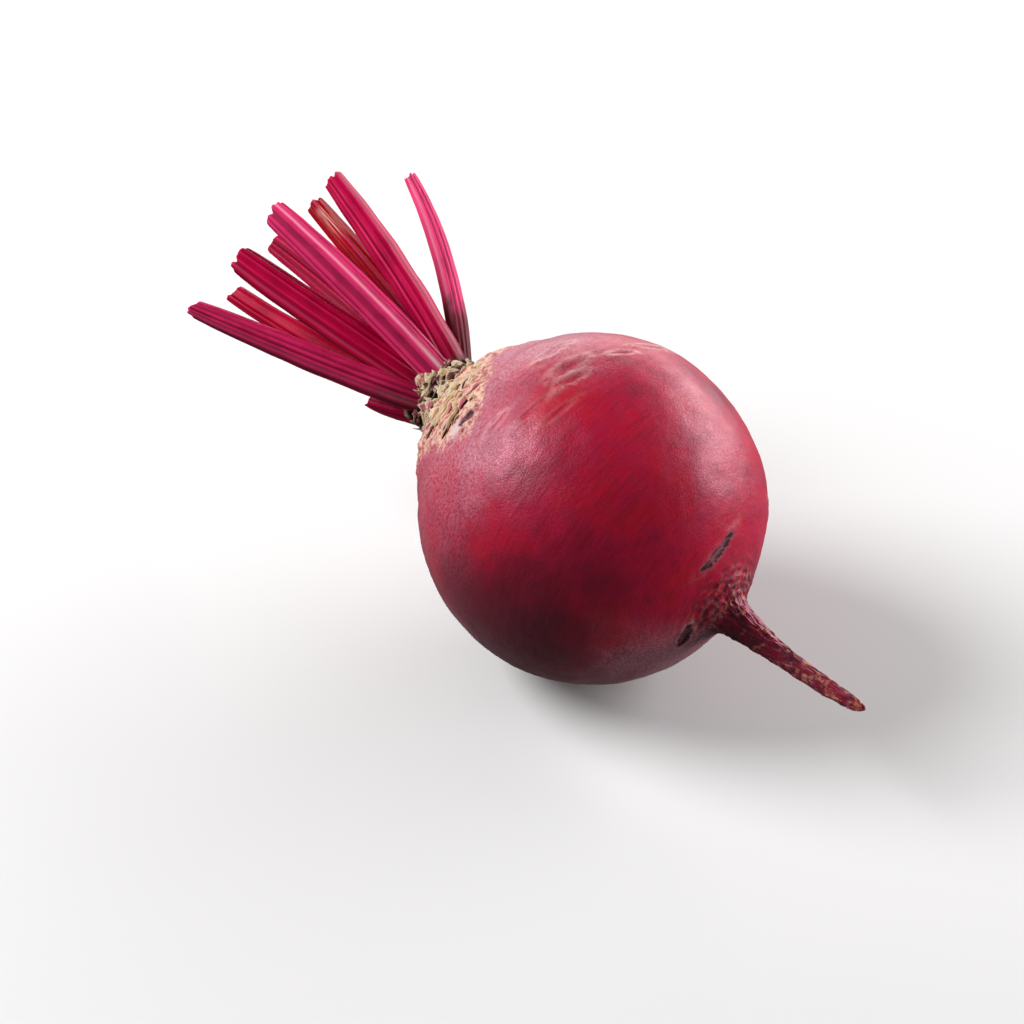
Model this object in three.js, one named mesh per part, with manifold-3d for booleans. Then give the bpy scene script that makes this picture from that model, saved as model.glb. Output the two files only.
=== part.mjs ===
// A whole beetroot lying on its side, its leaf stalks trimmed short and its taproot left on.
// Millimetres, +Z up. The origin is the centre of the small flat spot that the globe rests on.
// The crown points to -X and a little up, the taproot to +X, and the front of the rosette to -Y.
import * as THREE from "three";
import { mergeVertices } from "three/addons/utils/BufferGeometryUtils.js";
import Module from "manifold-3d";

const wasm = await Module();
wasm.setup();

// Driving dimensions of the root. Heights along the root are counted from the globe's centre.
const GLOBE_RADIUS = 37.5;
const REST_HEIGHT = 36.5; // the globe's centre above the flat spot
const AXIS_TILT = 11; // degrees that the taproot's end lies lower than the crown
const TAIL_POLE = -39.3; // where the globe's underside closes round the taproot
const SHOULDER_END = 36; // where the skin ends and the corky crown begins
const NECK_RADIUS = 17.2; // of the root at that height
const LUMP = 0.45; // depth of the globe's broad swellings
const RING = 0.25; // depth of the rings round its shoulder

// Driving dimensions of the taproot.
const TAPROOT_LENGTH = 41.5; // from inside the globe to the broken tip
const TAPROOT_SUNK = 4.5; // the length of it that is inside the globe
const TAPROOT_START = 6; // degrees that it leaves the globe's axis downwards
const TAPROOT_TURN = 17; // degrees that it then curves up again

// Driving dimensions of the crown and its dry leaf-base scales.
const GAP = 0.3; // between touching pieces
const CROWN_TOP = 48.6;
const CROWN_RADIUS = 9;
const CROWN_FLARE = 2.5; // the height over which the neck draws in
const SCALE_ROWS = 5;
const SCALE_WIDTH = 7.4; // around the crown
const SCALE_HEIGHT = 3;
const SCALE_THICKNESS = 0.8;
const SCALE_SUNK = 0.5; // how deep a scale's foot is set in the core
const SCALE_STAND_OFF = 1.2; // how far its ragged edge stands out
const GOLDEN_ANGLE = 137.5;

// Driving dimensions of the leaf stalks.
const STALK_BASE_HEIGHT = 45.4; // the sockets' floor in the crown
const STALK_SWELL = 1.5; // how much wider a stalk is halfway than its ends would make it
const STALK_RIBS = 6;
const STALK_STEPS = 8;
const CUT_SLANT = 0.25; // slope of the trimmed ends

// Each stalk: degrees around the crown from the top towards the front, distance of its base from the
// crown's axis, degrees that it leans outwards and that it curves back in, its length, and its width
// at the base and at the cut. Outer stalks come first, and inner ones give way to them.
const STALKS = [
  { name: "stalk_front", around: 78, out: 6.4, lean: 26, turn: 10, length: 55.5, base: 6.6, cut: 4.8 },
  { name: "stalk_upper", around: 16, out: 6.2, lean: 17, turn: 10, length: 53, base: 7.0, cut: 6.6 },
  { name: "stalk_top", around: 337, out: 6.4, lean: 21.2, turn: 10, length: 53, base: 7.2, cut: 6.4 },
  { name: "stalk_rear", around: 303, out: 5.8, lean: 33.5, turn: 22, length: 52, base: 6.2, cut: 4.2 },
  { name: "stalk_rear_lower", around: 258, out: 6.4, lean: 17, turn: 14, length: 40, base: 5.6, cut: 4.6 },
  { name: "stalk_lower", around: 205, out: 6.4, lean: 21, turn: 12, length: 41, base: 5.8, cut: 4.8 },
  { name: "stalk_stub", around: 140, out: 6.4, lean: 16, turn: 4, length: 15, base: 5.6, cut: 5.0 },
  { name: "stalk_front_upper", around: 50, out: 3.9, lean: 19, turn: 8, length: 53, base: 6.8, cut: 6.8 },
  { name: "stalk_front_inner", around: 130, out: 2.8, lean: 7.5, turn: 6, length: 58, base: 6.8, cut: 6.8 },
  { name: "stalk_top_inner", around: 317, out: 2.8, lean: 14, turn: 6, length: 56, base: 7.0, cut: 6.0 },
  { name: "stalk_heart", around: 256, out: 1.6, lean: 4, turn: 6, length: 62, base: 6.2, cut: 5.6 },
];

const skin = new THREE.MeshStandardMaterial({ color: 0x8c1636, roughness: 0.5, metalness: 0 });
const cork = new THREE.MeshStandardMaterial({ color: 0xc8a981, roughness: 0.9, metalness: 0 });
const stalkFlesh = new THREE.MeshStandardMaterial({ color: 0xb0123f, roughness: 0.4, metalness: 0 });

const radians = THREE.MathUtils.degToRad;

// A repeatable draw between -1 and 1 for the scales' ragged edges.
let seed = 41;
function draw() {
  seed = (seed * 16807) % 2147483647;
  return (2 * seed) / 2147483647 - 1;
}

function solidOf(geometry) {
  const bare = geometry.clone();
  bare.deleteAttribute("normal");
  bare.deleteAttribute("uv");
  const merged = mergeVertices(bare, 1e-3);
  return new wasm.Manifold(
    new wasm.Mesh({
      numProp: 3,
      vertProperties: merged.attributes.position.array,
      triVerts: new Uint32Array(merged.index.array),
    }),
  );
}

function geometryOf(solid) {
  const mesh = solid.getMesh();
  const geometry = new THREE.BufferGeometry();
  geometry.setAttribute("position", new THREE.BufferAttribute(mesh.vertProperties, 3));
  geometry.setIndex(new THREE.BufferAttribute(mesh.triVerts, 1));
  geometry.computeVertexNormals();
  return geometry;
}

// The largest body of a joined solid: hollows that the joining sealed are filled, scraps dropped.
function wholeBody(solid) {
  const bodies = solid.decompose();
  return bodies.reduce((largest, body) => (body.volume() > largest.volume() ? body : largest));
}

// Moves every vertex of a geometry to where the rule says.
function reshape(geometry, rule) {
  const position = geometry.attributes.position;
  const point = new THREE.Vector3();
  for (let i = 0; i < position.count; i++) {
    point.fromBufferAttribute(position, i);
    rule(point);
    position.setXYZ(i, point.x, point.y, point.z);
  }
  return geometry;
}

// Bends what stands along +Y into an arc in the XY plane. It sets out leaning towards +X by the
// first angle, and turns back by the second over its length.
function bend(geometry, lean, turn, length) {
  const start = radians(lean);
  const curvature = radians(turn) / length;
  return reshape(geometry, (p) => {
    const angle = start - curvature * p.y;
    const alongX = (Math.cos(angle) - Math.cos(start)) / curvature;
    const alongY = (Math.sin(start) - Math.sin(angle)) / curvature;
    p.set(alongX + Math.cos(angle) * p.x, alongY - Math.sin(angle) * p.x, p.z);
  });
}

// The globe: a sphere that runs out into the neck at one end and closes round the taproot at the
// other, with broad swellings and faint rings round the neck.
function globe() {
  const outline = new THREE.Path();
  outline.moveTo(0, TAIL_POLE);
  outline.bezierCurveTo(6, TAIL_POLE + 0.4, 14, -36.2, 20, -31.7);
  outline.absarc(0, 0, GLOBE_RADIUS, radians(-55), radians(47), false);
  outline.bezierCurveTo(22.5, 30.3, 20.2, 33.8, NECK_RADIUS, SHOULDER_END);
  outline.lineTo(0, SHOULDER_END);
  const geometry = new THREE.LatheGeometry(outline.getPoints(9), 48);
  return reshape(geometry, (p) => {
    const around = Math.atan2(p.z, p.x);
    const swelling =
      0.5 * Math.cos(2 * around + 0.9) +
      0.35 * Math.cos(3 * around + 0.06 * p.y) +
      0.3 * Math.cos(5 * around + 0.11 * p.y + 2);
    const ring = Math.sin(1.1 * p.y) * THREE.MathUtils.smoothstep(p.y, 18, 34);
    const radius = Math.hypot(p.x, p.z);
    const fade = THREE.MathUtils.smoothstep(radius, 0.2 * GLOBE_RADIUS, 0.6 * GLOBE_RADIUS);
    const grown = 1 + ((LUMP * swelling + RING * ring) * fade) / Math.max(radius, 1);
    p.x *= grown;
    p.z *= grown;
  });
}

// The taproot: a tapering, wrinkled tail with a flared collar, curving back up to its broken tip.
function taproot() {
  const end = TAPROOT_LENGTH;
  const outline = new THREE.SplineCurve([
    new THREE.Vector2(5.8, 0),
    new THREE.Vector2(4.9, 0.1 * end),
    new THREE.Vector2(3.6, 0.18 * end),
    new THREE.Vector2(2.75, 0.32 * end),
    new THREE.Vector2(2.05, 0.52 * end),
    new THREE.Vector2(1.75, 0.7 * end),
    new THREE.Vector2(1.3, 0.88 * end),
    new THREE.Vector2(0.55, end),
  ]);
  const side = outline.getPoints(18);
  const profile = [new THREE.Vector2(0, 0), ...side, new THREE.Vector2(0, end)];
  const geometry = new THREE.LatheGeometry(profile, 12);
  reshape(geometry, (p) => {
    const around = Math.atan2(p.z, p.x);
    const wrinkle = 0.05 * Math.sin(1.9 * p.y) + 0.07 * Math.sin(2 * around + 0.22 * p.y);
    p.x *= 1 + wrinkle;
    p.z *= 1 + wrinkle;
  });
  bend(geometry, TAPROOT_START, TAPROOT_TURN, end);
  geometry.rotateZ(Math.PI);
  geometry.translate(0, TAIL_POLE + TAPROOT_SUNK, 0);
  return geometry;
}

// The block under the surface that the beetroot rests on, in the root's own frame.
function underfloor(frame) {
  const block = new THREE.BoxGeometry(4 * GLOBE_RADIUS, 4 * GLOBE_RADIUS, GLOBE_RADIUS);
  block.translate(0, 0, -GLOBE_RADIUS / 2);
  return block.applyMatrix4(frame.clone().invert());
}

function root(frame) {
  const grown = solidOf(globe()).add(solidOf(taproot()));
  return new THREE.Mesh(geometryOf(grown.subtract(solidOf(underfloor(frame)))), skin);
}

// The radius of the crown's core at a height, from the neck's flare to the stalks' collar.
function coreRadius(height) {
  const flare = Math.exp(-(height - SHOULDER_END) / CROWN_FLARE);
  return CROWN_RADIUS + (NECK_RADIUS - CROWN_RADIUS) * flare;
}

function crownCore() {
  const foot = SHOULDER_END + GAP;
  const profile = [new THREE.Vector2(0, foot)];
  for (let i = 0; i <= 8; i++) {
    const height = THREE.MathUtils.lerp(foot, CROWN_TOP - 1, i / 8);
    profile.push(new THREE.Vector2(coreRadius(height), height));
  }
  profile.push(new THREE.Vector2(CROWN_RADIUS - 1.4, CROWN_TOP), new THREE.Vector2(0, CROWN_TOP));
  return new THREE.LatheGeometry(profile, 32);
}

// One dry leaf-base scale: a ragged flap that hugs the core and stands out at its free edge.
function scale(foot, around, width) {
  const height = SCALE_HEIGHT * (1 + 0.2 * draw());
  const flap = new THREE.Shape();
  flap.moveTo(-0.5 * width, 0);
  flap.lineTo(0, 0);
  flap.lineTo(0.5 * width, 0);
  for (const [across, up] of [[0.43, 0.8], [0.17, 1], [-0.1, 0.85], [-0.4, 0.9]]) {
    flap.lineTo((across + 0.04 * draw()) * width, (up + 0.16 * draw()) * height);
  }
  const geometry = new THREE.ExtrudeGeometry(flap, { depth: SCALE_THICKNESS, bevelEnabled: false });
  return reshape(geometry, (p) => {
    const angle = around - p.x / coreRadius(foot);
    const lift = SCALE_STAND_OFF * (p.y / height) ** 2;
    const out = coreRadius(foot + p.y) - SCALE_SUNK + p.z + lift;
    p.set(out * Math.cos(angle), foot + p.y, out * Math.sin(angle));
  });
}

// The crown: the corky neck, its rows of scales fused on, and a socket for each stalk.
function crown(stalks) {
  let grown = solidOf(crownCore());
  for (let row = 0; row < SCALE_ROWS; row++) {
    const foot = THREE.MathUtils.lerp(SHOULDER_END + 1, CROWN_TOP - 1.6, row / (SCALE_ROWS - 1));
    const count = Math.round((2 * Math.PI * coreRadius(foot)) / SCALE_WIDTH);
    const spacing = (2 * Math.PI) / count;
    for (let k = 0; k < count; k++) {
      const width = spacing * coreRadius(foot) * (0.88 + 0.1 * draw());
      const around = spacing * (k + 0.15 * draw()) + radians(GOLDEN_ANGLE * row);
      grown = grown.add(solidOf(scale(foot + 0.4 * draw(), around, width)));
    }
  }
  for (const stalk of stalks) {
    grown = grown.subtract(solidOf(stalkGeometry(stalk, GAP)));
  }
  return new THREE.Mesh(geometryOf(wholeBody(grown)), cork);
}

// A stalk's section, one wide: ribbed and rounded outside, with a shallow channel inside.
function stalkSection() {
  const section = new THREE.Shape();
  const outside = 2 * STALK_RIBS;
  for (let i = 0; i <= outside; i++) {
    const angle = radians(-90 + (180 * i) / outside);
    const rib = i % 2 ? 1 : 0.9;
    const point = [0.42 * rib * Math.cos(angle), 0.5 * rib * Math.sin(angle)];
    if (i === 0) section.moveTo(...point);
    else section.lineTo(...point);
  }
  section.lineTo(-0.22, 0.34);
  section.lineTo(-0.06, 0);
  section.lineTo(-0.22, -0.34);
  return section;
}

// One leaf stalk in the root's frame. What cuts its socket or its neighbour is grown by the gap.
function stalkGeometry({ around, out, lean, turn, length, base, cut }, grown = 0) {
  const geometry = new THREE.ExtrudeGeometry(stalkSection(), {
    depth: 1,
    steps: STALK_STEPS,
    bevelEnabled: false,
  });
  reshape(geometry, (p) => {
    const share = p.z;
    const swell = STALK_SWELL * Math.sqrt(Math.sin(Math.PI * share));
    const width = THREE.MathUtils.lerp(base, cut, share) + swell + 2 * grown;
    const slant = share === 1 ? CUT_SLANT * p.x * width + grown : 0;
    const sunk = share === 0 ? grown : 0;
    const inward = p.x < 0 ? grown : 0;
    p.set(p.x * width - inward, share * length + slant - sunk, -p.y * width);
  });
  bend(geometry, lean + turn / 2, turn, length);
  geometry.translate(out, STALK_BASE_HEIGHT, 0);
  return geometry.rotateY(-radians(around));
}

// The rosette: each stalk gives way to those already placed, as real ones clasp each other.
function rosette(stalks) {
  return stalks.map((stalk, i) => {
    let flesh = solidOf(stalkGeometry(stalk));
    for (const placed of stalks.slice(0, i)) {
      flesh = flesh.subtract(solidOf(stalkGeometry(placed, GAP)));
    }
    const mesh = new THREE.Mesh(geometryOf(wholeBody(flesh)), stalkFlesh);
    mesh.name = stalk.name;
    return mesh;
  });
}

// The lying frame: +Y runs along the root to the crown, +X is up and +Z is the front.
function lyingFrame() {
  const tilt = radians(AXIS_TILT);
  const up = new THREE.Vector3(Math.sin(tilt), 0, Math.cos(tilt));
  const crownwards = new THREE.Vector3(-Math.cos(tilt), 0, Math.sin(tilt));
  const front = new THREE.Vector3(0, -1, 0);
  return new THREE.Matrix4().makeBasis(up, crownwards, front).setPosition(0, 0, REST_HEIGHT);
}

const frame = lyingFrame();
const beetroot = new THREE.Group();
beetroot.applyMatrix4(frame);

const rootMesh = root(frame);
rootMesh.name = "root";
const crownMesh = crown(STALKS);
crownMesh.name = "crown";
beetroot.add(rootMesh, crownMesh, ...rosette(STALKS));

export default beetroot;
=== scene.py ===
"""A whole beetroot lying on its side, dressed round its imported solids: skin, taproot, crown and stalks."""

import math
from functools import partial

import bpy
import numpy as np
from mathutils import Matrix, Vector, noise
from mathutils.geometry import interpolate_bezier


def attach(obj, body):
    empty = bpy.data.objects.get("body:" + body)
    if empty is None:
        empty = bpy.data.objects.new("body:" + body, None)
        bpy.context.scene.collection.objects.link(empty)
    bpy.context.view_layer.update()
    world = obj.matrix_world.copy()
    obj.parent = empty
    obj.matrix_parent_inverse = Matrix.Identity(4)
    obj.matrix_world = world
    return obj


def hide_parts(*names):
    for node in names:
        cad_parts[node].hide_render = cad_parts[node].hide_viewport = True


bl_info = {
    "name": "Beetroot",
    "version": (1, 0, 0),
    "blender": (4, 5, 0),
    "location": "View3D > Sidebar > Beetroot",
    "description": "Grows a whole beetroot with trimmed leaf stalks, and a stage to see it on",
    "category": "Add Mesh",
}

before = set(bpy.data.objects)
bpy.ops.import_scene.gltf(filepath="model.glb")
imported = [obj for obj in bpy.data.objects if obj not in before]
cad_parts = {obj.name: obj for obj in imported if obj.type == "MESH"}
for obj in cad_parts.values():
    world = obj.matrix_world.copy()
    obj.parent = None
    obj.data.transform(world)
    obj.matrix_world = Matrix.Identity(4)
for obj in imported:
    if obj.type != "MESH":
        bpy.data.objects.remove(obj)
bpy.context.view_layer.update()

# The shapes are worked out in millimetres in the growing frame: +Y runs up the root to the crown,
# +X is the side that lies uppermost, and +Z is the front. Its origin is the globe's centre.
# Angles round the root and round the crown start at the top and go towards the front.
MM = 0.001
REST_HEIGHT = 36.5
AXIS_TILT = math.radians(11)
UP = (math.sin(AXIS_TILT), 0.0, math.cos(AXIS_TILT))
CROWNWARDS = (-math.cos(AXIS_TILT), 0.0, math.sin(AXIS_TILT))
FRONT = (0.0, -1.0, 0.0)

# The root, as its solid has it.
GLOBE_RADIUS = 37.5
GLOBE_TOP = math.radians(47)
GLOBE_BOTTOM = math.radians(-55)
SHOULDER_END = 36.0
NECK_RADIUS = 17.2
TAPROOT_TOP = -34.8
TAPROOT_LENGTH = 41.5
TAPROOT_START = math.radians(6)
TAPROOT_TURN = math.radians(17)

# How many points of the outline the taproot's upper half, its lower half and its tip get.
TAPROOT_STEPS = (30, 30, 8)

# What the skin adds to it: the wrinkled collar where the taproot leaves the globe, with its depth
# below the centre, the cleft in the tip, with the angle across it, the middle of a painted shadow on
# the lower front, and how ragged the rims of the blemishes are.
COLLAR_DEPTH = 38.6
COLLAR_SPREAD = 2.2
CLEFT_ANGLE = math.radians(60)
CLEFT_DEPTH = 2.6
CLEFT_WIDTH = 0.42
PAINTED_SHADOW_CENTRE = np.array((-4.0, -8.0, 36.0))
RAGGED_RIM = 0.3

# The crown, as its solid has it.
CROWN_TOP = 48.6
CROWN_RADIUS = 9.0
CROWN_FLARE = 2.5

# The lower edge of the corky fringe: its height on the shoulder, how much that waves, and how far,
# how widely and at how many degrees round the root it dips at the front. Scales grow down to the foot.
FRINGE_HEIGHT = 31
FRINGE_WAVE = 2.5
FRINGE_DIP = 9.5
FRINGE_DIP_WIDTH = math.radians(19)
FRINGE_LOW_SIDE = 42
FRINGE_FOOT = 16

# The crown's scales: how much of its width each has to itself, how many are missing, and how far they
# keep off the leaf scar, as a share of the scar.
SCALE_PITCH = 0.75
MISSING_SCALES = 0.12
SCAR_CLEARANCE = 1.7

# What all stalks share: the height of their bases, how much they swell midway, the slant of the cut,
# the depth of the notch torn in it, and the most that one twists. The degrees say how wide the notch,
# the painted highlight along the palest ridge and a dried patch are.
STALK_BASE = 45.4
STALK_SWELL = 1.5
CUT_SLANT = 0.25
CUT_NOTCH = 1.1
STALK_TWIST = math.radians(14)
NOTCH_DEGREES = 13
CREST_HIGHLIGHT_DEGREES = 8
DRIED_DEGREES = 20

# The stalks, as their solids have them: degrees around the crown, how far out the base stands,
# degrees of lean and of curving back, length, and width at base and cut.
# Then the look of each: how scarlet it is, how strong the painted highlight on its ridges is and how
# little painted shade its foot gets, how pink it is between them, partly raised to lighten stalks that
# sit in shade, how far brown runs up it, how far a dried patch runs down it, and the degrees from its
# back to its palest ridge, where a painted highlight line runs, and to the notch in its cut.
STALKS = {
    "stalk_front": dict(
        around=78, out=6.4, lean=26, turn=10, length=55.5, base=6.6, cut=4.8,
        scarlet=0.0, light=0.4, blush=0.24, brown_base=0.0, dried_tip=0.0, crest=-8, notch=35),
    "stalk_upper": dict(
        around=16, out=6.2, lean=17, turn=10, length=53, base=7.0, cut=6.6,
        scarlet=0.0, light=1.0, blush=0.42, brown_base=0.0, dried_tip=0.0, crest=-4, notch=35),
    "stalk_top": dict(
        around=337, out=6.4, lean=21.2, turn=10, length=53, base=7.2, cut=6.4,
        scarlet=0.1, light=0.45, blush=0.03, brown_base=0.05, dried_tip=0.0, crest=-10, notch=30),
    "stalk_rear": dict(
        around=303, out=5.8, lean=33.5, turn=22, length=52, base=6.2, cut=4.2,
        scarlet=1.0, light=0.8, blush=0.72, brown_base=0.62, dried_tip=0.0, crest=85, notch=20),
    "stalk_rear_lower": dict(
        around=258, out=6.4, lean=17, turn=14, length=40, base=5.6, cut=4.6,
        scarlet=0.3, light=0.45, blush=0.05, brown_base=0.15, dried_tip=0.1, crest=20, notch=0),
    "stalk_lower": dict(
        around=205, out=6.4, lean=21, turn=12, length=41, base=5.8, cut=4.8,
        scarlet=0.15, light=0.45, blush=0.0, brown_base=0.1, dried_tip=0.0, crest=10, notch=0),
    "stalk_stub": dict(
        around=140, out=6.4, lean=16, turn=4, length=15, base=5.6, cut=5.0,
        scarlet=0.05, light=0.1, blush=0.0, brown_base=0.4, dried_tip=0.5, crest=0, notch=0),
    "stalk_front_upper": dict(
        around=50, out=3.9, lean=19, turn=8, length=53, base=6.8, cut=6.8,
        scarlet=0.3, light=0.25, blush=0.0, brown_base=0.0, dried_tip=0.0, crest=36, notch=20),
    "stalk_front_inner": dict(
        around=130, out=2.8, lean=7.5, turn=6, length=58, base=6.8, cut=6.8,
        scarlet=0.6, light=0.25, blush=0.0, brown_base=0.0, dried_tip=0.0, crest=-130, notch=0),
    "stalk_top_inner": dict(
        around=317, out=2.8, lean=14, turn=6, length=56, base=7.0, cut=6.0,
        scarlet=1.0, light=0.2, blush=0.0, brown_base=0.0, dried_tip=0.22, crest=52, notch=20),
    "stalk_heart": dict(
        around=256, out=1.6, lean=4, turn=6, length=62, base=6.2, cut=5.6,
        scarlet=0.25, light=0.3, blush=0.0, brown_base=0.0, dried_tip=0.0, crest=160, notch=0),
}

# The kinds of node that the materials use: each one's name in Blender, its inputs in the order in
# which they are given, the output that is used, and its usual settings.
NODES = {
    "mix": ("ShaderNodeMix", (0, 6, 7), 2, {"data_type": "RGBA"}),
    "rise": ("ShaderNodeMapRange", ("Value", "From Min", "From Max", "To Max", "To Min"), "Result",
             {"interpolation_type": "SMOOTHSTEP"}),
    "math": ("ShaderNodeMath", (0, 1, 2), 0, {}),
    "ramp": ("ShaderNodeValToRGB", ("Fac",), "Color", {}),
    "painted": ("ShaderNodeAttribute", (), "Fac", {}),
    "painted_place": ("ShaderNodeAttribute", (), "Vector", {}),
    "mapping": ("ShaderNodeMapping", ("Vector", "Scale"), "Vector", {}),
    "noise": ("ShaderNodeTexNoise", ("Vector", "Scale", "Detail", "Roughness"), "Fac", {}),
    "bump": ("ShaderNodeBump", ("Strength", "Distance", "Height", "Normal"), "Normal", {}),
}

# Where a leaf came away clean on the shoulder, with the same words as the blemishes below.
LEAF_SCAR = dict(polar=52, around=45.5, turn=0, length=7.2, width=3.4, depth=0.3, rim=0.3, dark=0.0, pale=0.6)

# Healed cuts and dents in the skin. Polar is degrees from the crown's end of the axis, around is
# degrees round the root, and turn is degrees off the ring round it. The sizes are millimetres, and
# dark and pale say how brown the middle and how pale the rim is. One with a negative depth stands
# proud, and is pale all over. The marks at polar 52.8 and 51.3 are the two ends of the leaf scar.
BLEMISHES = (
    dict(polar=155, around=8, turn=-14, length=12, width=2.6, depth=0.4, rim=0.12, dark=1.0, pale=0.1),
    LEAF_SCAR,
    dict(polar=52.8, around=42.4, turn=16, length=4.6, width=2.9, depth=0.5, rim=0.2, dark=1.0, pale=0.2),
    dict(polar=51.3, around=48.0, turn=16, length=3.8, width=1.9, depth=-0.25, rim=0.1, dark=0.0, pale=1.0),
    dict(polar=163.5, around=102, turn=16, length=7.5, width=3.0, depth=0.6, rim=0.2, dark=1.0, pale=0.3),
    dict(polar=73, around=6, turn=8, length=9, width=4.0, depth=0.35, rim=0.15, dark=0.1, pale=0.35),
    dict(polar=61, around=0, turn=4, length=9, width=3.4, depth=0.2, rim=0.2, dark=0.0, pale=0.5),
    dict(polar=78, around=10, turn=12, length=8, width=2.4, depth=0.2, rim=0.18, dark=0.05, pale=0.4),
    dict(polar=76, around=27, turn=8, length=12, width=1.8, depth=0.22, rim=0.1, dark=0.1, pale=0.1),
    dict(polar=84, around=22, turn=8, length=9, width=1.6, depth=0.18, rim=0.08, dark=0.1, pale=0.1),
    dict(polar=67, around=38, turn=4, length=9, width=1.8, depth=0.2, rim=0.1, dark=0.1, pale=0.2),
    dict(polar=80, around=-12, turn=30, length=6, width=1.6, depth=0.3, rim=0.1, dark=0.3, pale=0.6),
    dict(polar=81, around=-27, turn=20, length=9, width=2.2, depth=0.3, rim=0.2, dark=0.4, pale=0.6),
    dict(polar=120, around=200, turn=5, length=9, width=2.4, depth=0.5, rim=0.2, dark=0.7, pale=0.2),
    dict(polar=95, around=255, turn=-6, length=12, width=1.8, depth=0.4, rim=0.15, dark=0.3, pale=0.3),
    dict(polar=140, around=290, turn=8, length=7, width=2.2, depth=0.5, rim=0.15, dark=0.8, pale=0.2),
)


def linear(hex_colour):
    """The linear colour of an sRGB hex value."""
    parts = [int(hex_colour[i:i + 2], 16) / 255 for i in (1, 3, 5)]
    return tuple(c / 12.92 if c <= 0.04045 else ((c + 0.055) / 1.055) ** 2.4 for c in parts) + (1.0,)


def colour(name, hex_colour):
    """A colour setting."""
    return bpy.props.FloatVectorProperty(
        name=name, description=f"Colour of the {name.lower()}", default=linear(hex_colour),
        size=4, min=0, max=1, subtype="COLOR")


def length(name, description, millimetres):
    """A length setting."""
    return bpy.props.FloatProperty(
        name=name, description=description, default=millimetres * MM, min=0, unit="LENGTH", precision=5)


def power(name, watts):
    """A light's power."""
    return bpy.props.FloatProperty(
        name=name, description="Its power in watts", default=watts, min=0, unit="POWER")


class RootSettings(bpy.types.PropertyGroup):
    """Sizes and colours of the skin and the taproot."""

    lumps: length("Lumps", "Height of the skin's irregular swellings", 0.16)
    wrinkles: length("Wrinkles", "Depth of the fine rings that run round the root", 0.03)
    knobs: length("Knobs", "Height of the taproot's knobs", 0.32)
    streak_length: length("Streak length", "How far a streak runs round the root", 7)
    streak_width: length("Streak width", "How wide a streak is", 0.8)
    crimson: colour("Crimson skin", "#AC0035")
    red: colour("Red patches", "#BA0024")
    maroon: colour("Maroon patches", "#850023")
    thread: colour("Pale threads", "#D04A72")
    # Dusty bloom, also the colour of a painted highlight on the shoulder and a painted sheen near the
    # taproot.
    bloom: colour("Dusty bloom", "#B97988")
    lip: colour("Pale end of the leaf scar", "#CDB6B4")
    scar: colour("Healed cuts", "#3A131C")
    scab: colour("Middles of healed cuts", "#7C3F4A")
    # Painted shade: the colour that darkens the underside, the collar's wrinkles and the lower front.
    under: colour("Dark underside", "#4C0018")
    rim: colour("Pale rims", "#D3A6A0")
    tail: colour("Taproot skin", "#5A0A1F")
    bark: colour("Taproot bark", "#B5694C")
    cork: colour("Corky fringe", "#D9B78E")


class CrownSettings(bpy.types.PropertyGroup):
    """Sizes and colours of the corky crown."""

    scale_width: length("Scale width", "Width of a dry leaf-base scale", 5.6)
    scale_height: length("Scale height", "Height of a dry leaf-base scale", 1.5)
    scale_thickness: length("Scale thickness", "Thickness of a scale", 0.32)
    row_spacing: length("Row spacing", "From one row of scales to the next", 1.2)
    cream: colour("Cream scales", "#F3E2C0")
    tan: colour("Tan scales", "#CC9A60")
    pink: colour("Pink scales", "#C65270")
    bark: colour("Brown scales", "#54281C")
    # Painted shade in the gaps between the scales.
    gap: colour("Dark gaps", "#180808")


class StalkSettings(bpy.types.PropertyGroup):
    """Sizes and colours of the leaf stalks."""

    fine_ribs: length("Fine ribs", "Height of the fine ribs between the main ones", 0.06)
    ragged_cut: length("Ragged cut", "How uneven the trimmed ends are", 0.5)
    magenta: colour("Magenta flesh", "#C00046")
    scarlet: colour("Scarlet flesh", "#A80012")
    # Dark mottles, and painted shade in the furrows and near the foot.
    dark_mottle_and_shade: colour("Dark furrows", "#5E0018")
    ridge: colour("Pink ridges", "#FA4C8C")
    pale: colour("Pale ridges at the base", "#F2BFC6")
    brown: colour("Brown bases", "#4A2A22")
    tan: colour("Dried patches", "#D8A08E")
    cut: colour("Cut ends", "#8E2444")


class StageSettings(bpy.types.PropertyGroup):
    """The camera, the floor and the lights."""

    azimuth: bpy.props.FloatProperty(
        name="Azimuth", description="Camera's turn round the beetroot",
        default=math.radians(43), subtype="ANGLE")
    elevation: bpy.props.FloatProperty(
        name="Elevation", description="Camera's height above the horizon",
        default=math.radians(38), subtype="ANGLE")
    distance: length("Distance", "From the camera to the globe's centre", 613)
    floor: colour("Floor", "#E2E1E1")
    key: power("Key light", 8.0)
    side: power("Side light", 8.0)
    fill: power("Fill light", 2.8)
    backdrop: power("Backdrop light", 5.0)
    sky: bpy.props.FloatProperty(
        name="Sky", description="Strength of the light all round", default=0.13, min=0)


def smoothstep(value, low, high):
    """0 below low, 1 above high, and a smooth rise between."""
    t = np.clip((value - low) / (high - low), 0, 1)
    return t * t * (3 - 2 * t)


def rough(points, size, octaves, seed):
    """Fractal noise about 0 at each point, with lumps of that size in millimetres."""
    shift = Vector((seed * 17.3, seed * 5.1, seed * 9.7))
    return np.array([noise.fractal(Vector(p) / size + shift, 1.0, 2.0, octaves) for p in points])


def turned(radius, height, around):
    """Points round the root's axis, or directions, from their radius, height and angle round it."""
    return np.stack((radius * np.cos(around), height, radius * np.sin(around)), -1)


def degrees_off(angle, place):
    """How many degrees an angle is past a place round a stalk, from -180 to 180."""
    return (np.degrees(angle) - place + 180) % 360 - 180


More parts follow.
